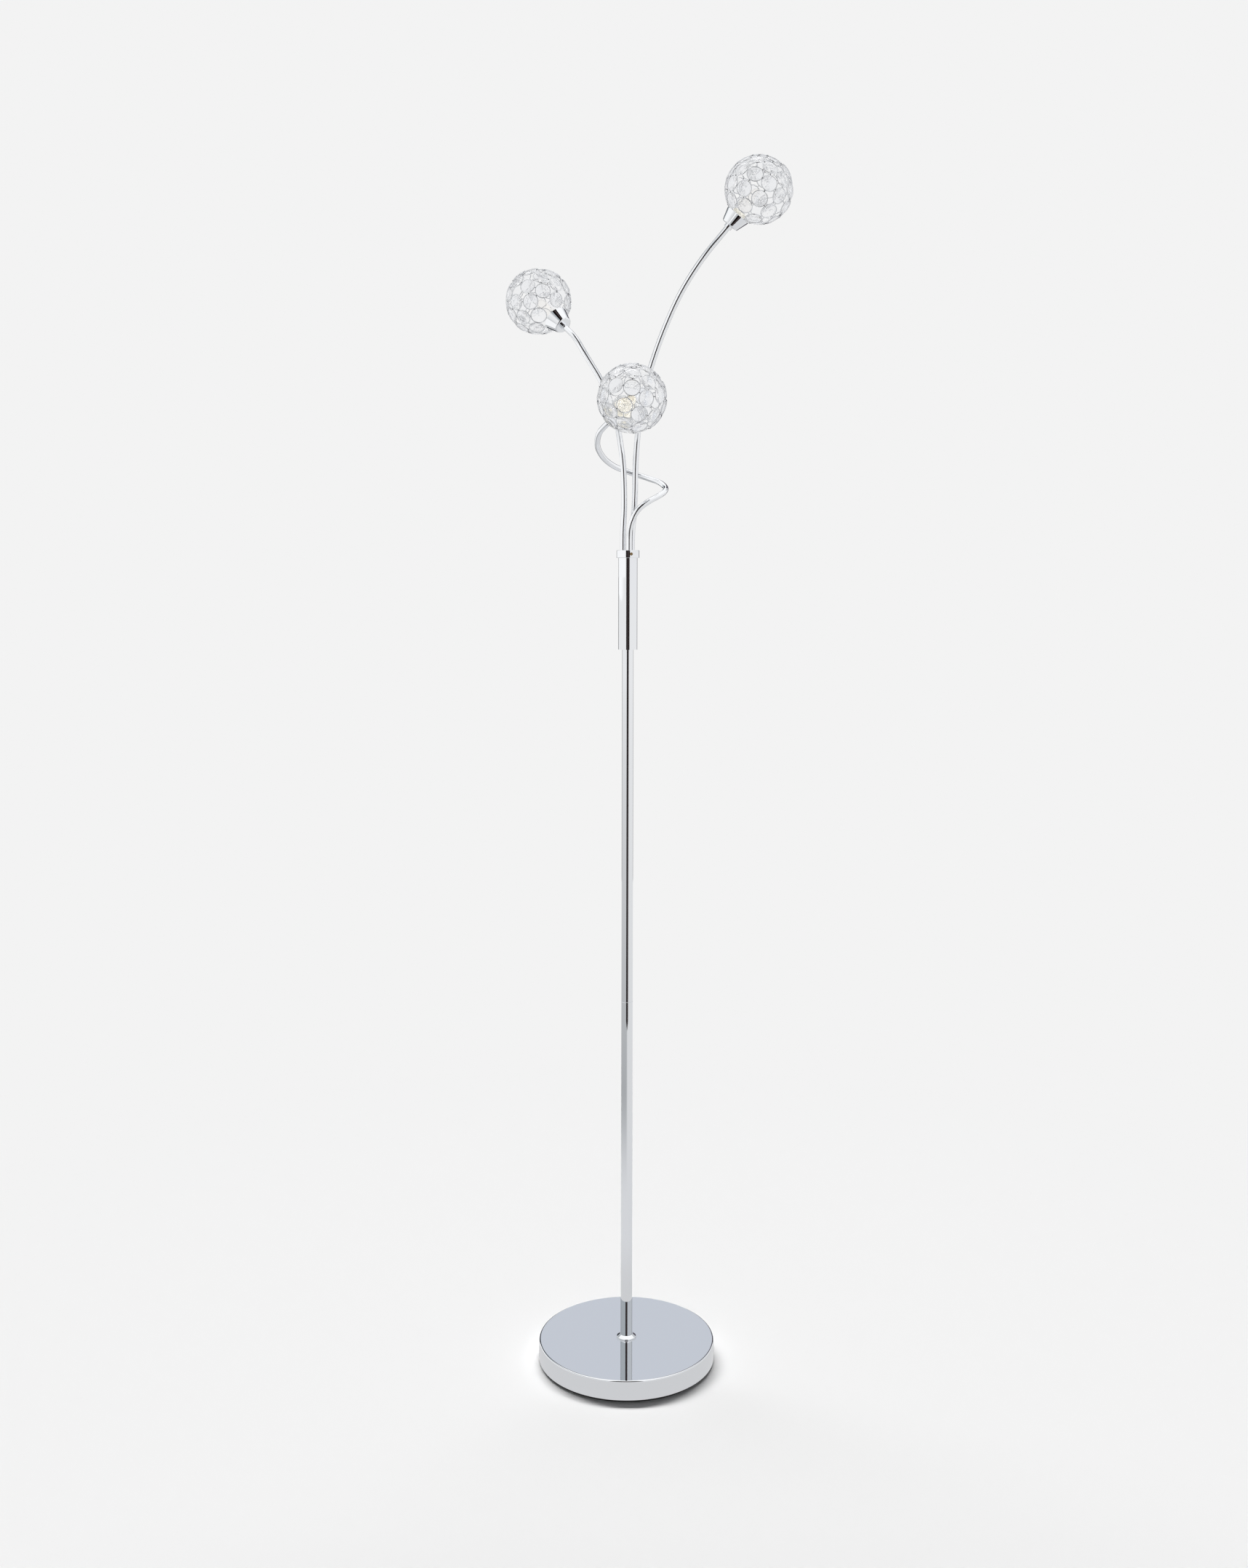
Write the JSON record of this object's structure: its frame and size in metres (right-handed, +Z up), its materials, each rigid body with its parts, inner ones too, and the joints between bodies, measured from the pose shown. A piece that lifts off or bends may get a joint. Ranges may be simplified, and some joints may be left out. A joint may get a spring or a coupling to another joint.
{
  "type": "floor lamp",
  "caption": "Chrome floor lamp: weighted round base, slim pole, fanned bent tube arms, a spiral one among them, and wire ball shades set with crystal buttons round capsule bulbs.",
  "frame": {"origin": "on the floor under the pole's axis, at the middle of the base pad's underside", "axes": "+Z up along the pole, +X to the right and -Y towards the viewer of the picture, so the tallest ball leans to +X and the cable inlet is on the +Y side"},
  "size_m": [0.3815, 0.2436, 1.5796],
  "materials": {
    "chrome": "polished chrome plate",
    "wire": "polished chrome plated wire with dark solder spots",
    "steel": "zinc plated",
    "brass": "brushed",
    "cast_iron": "as cast, dark",
    "pad": "soft matt foam",
    "black_plastic": "fine matt",
    "ceramic": "glazed ceramic, cream",
    "bulb_glass": "clear capsule glass",
    "crystal": "cut clear crystal"
  },
  "bodies": {
    "root": {"arm_left": "chrome", "arm_right": "chrome", "arm_spiral": "chrome", "base_cover": "chrome", "base_nut": "steel", "base_pad": "pad", "base_stud": "steel", "base_washer": "steel", "base_weight": "cast_iron", "bulb_left": "bulb_glass", "bulb_middle": "bulb_glass", "bulb_right": "bulb_glass", "collar": "chrome", "collar_screw": "brass", "crystals_left": "crystal", "crystals_middle": "crystal", "crystals_right": "crystal", "cup_left": "chrome", "cup_middle": "chrome", "cup_right": "chrome", "ferrule_left": "chrome", "ferrule_middle": "chrome", "ferrule_right": "chrome", "inlet_bush": "black_plastic", "lampholder_left": "ceramic", "lampholder_middle": "ceramic", "lampholder_right": "ceramic", "lock_nut_left": "steel", "lock_nut_middle": "steel", "lock_nut_right": "steel", "lower_pole": "chrome", "neck_ring": "chrome", "nipple_left": "steel", "nipple_middle": "steel", "nipple_right": "steel", "pole_coupler": "steel", "pole_foot_insert": "steel", "shade_frame_left": "wire", "shade_frame_middle": "wire", "shade_frame_right": "wire", "sleeve": "chrome", "sleeve_ring": "chrome", "upper_pole": "chrome"}
  },
  "joints": []
}
